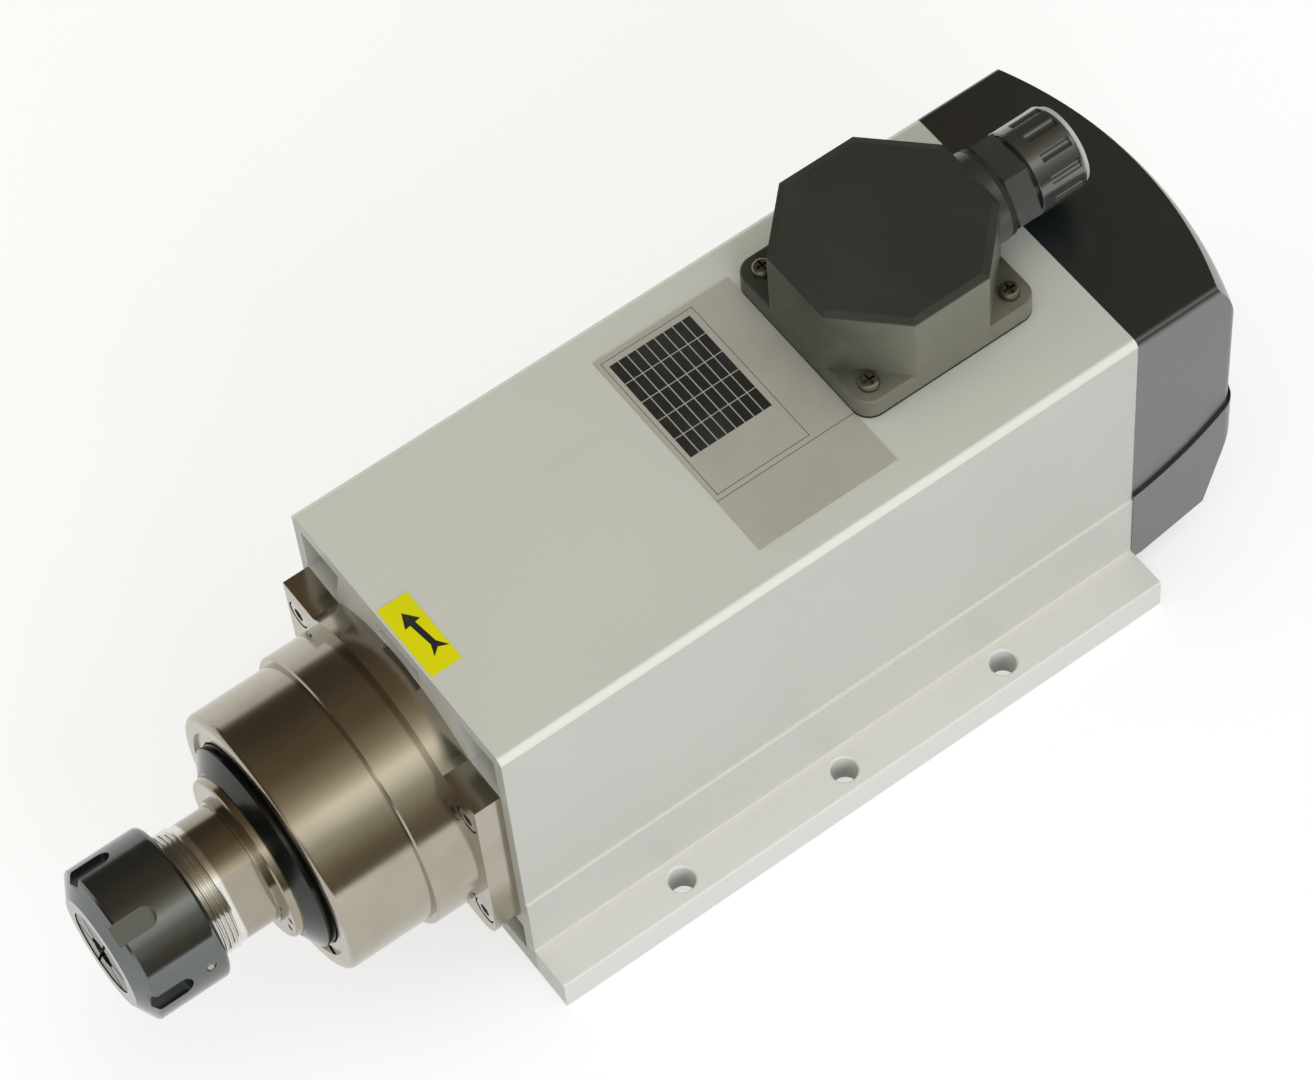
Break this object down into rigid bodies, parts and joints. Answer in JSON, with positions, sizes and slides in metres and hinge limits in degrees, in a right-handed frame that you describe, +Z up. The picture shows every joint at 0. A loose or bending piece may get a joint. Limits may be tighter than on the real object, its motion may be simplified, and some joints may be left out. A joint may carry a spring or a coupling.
{
  "type": "motor spindle",
  "caption": "Square air-cooled motor spindle with flanged base, nickel-plated nose and collet nut, roof terminal box with cable gland, and black fan cover.",
  "frame": {"origin": "centre of the base's fixing hole pattern, on the mounting face", "axes": "+Z up from the mounting face, +Y along the spindle towards the fan cover (the nose points along -Y), +X to the right for someone who faces the nose"},
  "size_m": [0.134, 0.3795, 0.156],
  "materials": {
    "white_coat": "satin powder coat",
    "nickel_plate": "satin nickel plating",
    "ground_steel": "ground",
    "bearing_steel": "polished",
    "black_oxide": "satin black oxide",
    "zinc_steel": "zinc plated",
    "black_plastic": "fine texture",
    "box_plastic": "satin",
    "gland_plastic": "satin",
    "seal_rubber": "matte",
    "pale_plastic": "matte",
    "plate_metal": "satin",
    "label_yellow": "gloss film",
    "lamination_steel": "stacked sheet",
    "copper_winding": "enamelled copper",
    "cast_aluminium": "as cast",
    "cage_plastic": "matte",
    "lead_insulation": "smooth"
  },
  "bodies": {
    "root": {"housing": "white_coat", "front_flange": "nickel_plate", "front_flange_screws": "zinc_steel", "nose_sleeve": "nickel_plate", "nose_sleeve_screws": "zinc_steel", "bearing_retaining_ring": "nickel_plate", "front_bearing_a_outer_ring": "bearing_steel", "front_bearing_b_outer_ring": "bearing_steel", "rear_bearing_outer_ring": "bearing_steel", "front_outer_spacer": "ground_steel", "stator_core": "lamination_steel", "stator_windings": "copper_winding", "rear_end_bell": "cast_aluminium", "rear_end_bell_screws": "zinc_steel", "preload_spring": "ground_steel", "fan_cover": "black_plastic", "fan_cover_screws": "zinc_steel", "terminal_box": "box_plastic", "terminal_box_gasket": "seal_rubber", "terminal_box_screws": "zinc_steel", "earth_screw": "zinc_steel", "terminal_block": "cage_plastic", "terminal_studs": "zinc_steel", "terminal_nuts": "zinc_steel", "lead_wires": "lead_insulation", "gland_washers": "seal_rubber", "gland_body": "gland_plastic", "gland_seal": "seal_rubber", "nameplate": "plate_metal", "rotation_label": "label_yellow"},
    "rotor": {"spindle_shaft": "ground_steel", "labyrinth_ring": "black_oxide", "balance_ring": "ground_steel", "front_inner_spacer": "ground_steel", "front_bearing_locknut": "black_oxide", "front_bearing_a_inner_ring": "bearing_steel", "front_bearing_b_inner_ring": "bearing_steel", "rear_bearing_inner_ring": "bearing_steel", "rotor_core": "lamination_steel", "rotor_end_rings": "cast_aluminium", "cooling_fan": "black_plastic", "fan_spacer": "ground_steel", "fan_retaining_ring": "black_oxide"},
    "front_cage_a": {"front_bearing_a_cage": "cage_plastic", "front_bearing_a_balls": "bearing_steel"},
    "front_cage_b": {"front_bearing_b_cage": "cage_plastic", "front_bearing_b_balls": "bearing_steel"},
    "rear_cage": {"rear_bearing_cage": "cage_plastic", "rear_bearing_balls": "bearing_steel"},
    "collet": {"collet": "ground_steel"},
    "collet_nut": {"collet_nut": "black_oxide", "collet_nut_ring": "ground_steel"},
    "gland_ring": {"gland_thrust_ring": "pale_plastic"},
    "gland_nut": {"gland_dome_nut": "gland_plastic"}
  },
  "joints": [
    {"name": "spindle_spin", "type": "hinge", "parent": "root", "child": "rotor", "pos_m": [0, 0, 0.0605], "axis": [0, 1, 0], "continuous": true},
    {"name": "front_cage_a_spin", "type": "hinge", "parent": "root", "child": "front_cage_a", "pos_m": [0, 0, 0.0605], "axis": [0, 1, 0], "continuous": true},
    {"name": "front_cage_b_spin", "type": "hinge", "parent": "root", "child": "front_cage_b", "pos_m": [0, 0, 0.0605], "axis": [0, 1, 0], "continuous": true},
    {"name": "rear_cage_spin", "type": "hinge", "parent": "root", "child": "rear_cage", "pos_m": [0, 0, 0.0605], "axis": [0, 1, 0], "continuous": true},
    {"name": "collet_draw", "type": "slide", "parent": "rotor", "child": "collet", "axis": [0, -1, 0], "range_m": [0, 0.0165]},
    {"name": "nut_turn", "type": "hinge", "parent": "collet", "child": "collet_nut", "pos_m": [0, 0, 0.0605], "axis": [0, -1, 0], "range_deg": [0, 3960]},
    {"name": "gland_ring_slide", "type": "slide", "parent": "root", "child": "gland_ring", "axis": [0, 1, 0], "range_m": [0, 0.0075]},
    {"name": "gland_nut_turn", "type": "hinge", "parent": "gland_ring", "child": "gland_nut", "pos_m": [-0.006, 0.0687, 0.1415], "axis": [0, 1, 0], "range_deg": [0, 1800]}
  ],
  "couplings": [
    {"joint": "front_cage_a_spin", "follows": "spindle_spin", "ratio": 0.41753},
    {"joint": "front_cage_b_spin", "follows": "spindle_spin", "ratio": 0.41753},
    {"joint": "rear_cage_spin", "follows": "spindle_spin", "ratio": 0.3974},
    {"joint": "collet_draw", "follows": "nut_turn", "m_per_rad": 0.00023873},
    {"joint": "gland_ring_slide", "follows": "gland_nut_turn", "m_per_rad": 0.00023873}
  ]
}
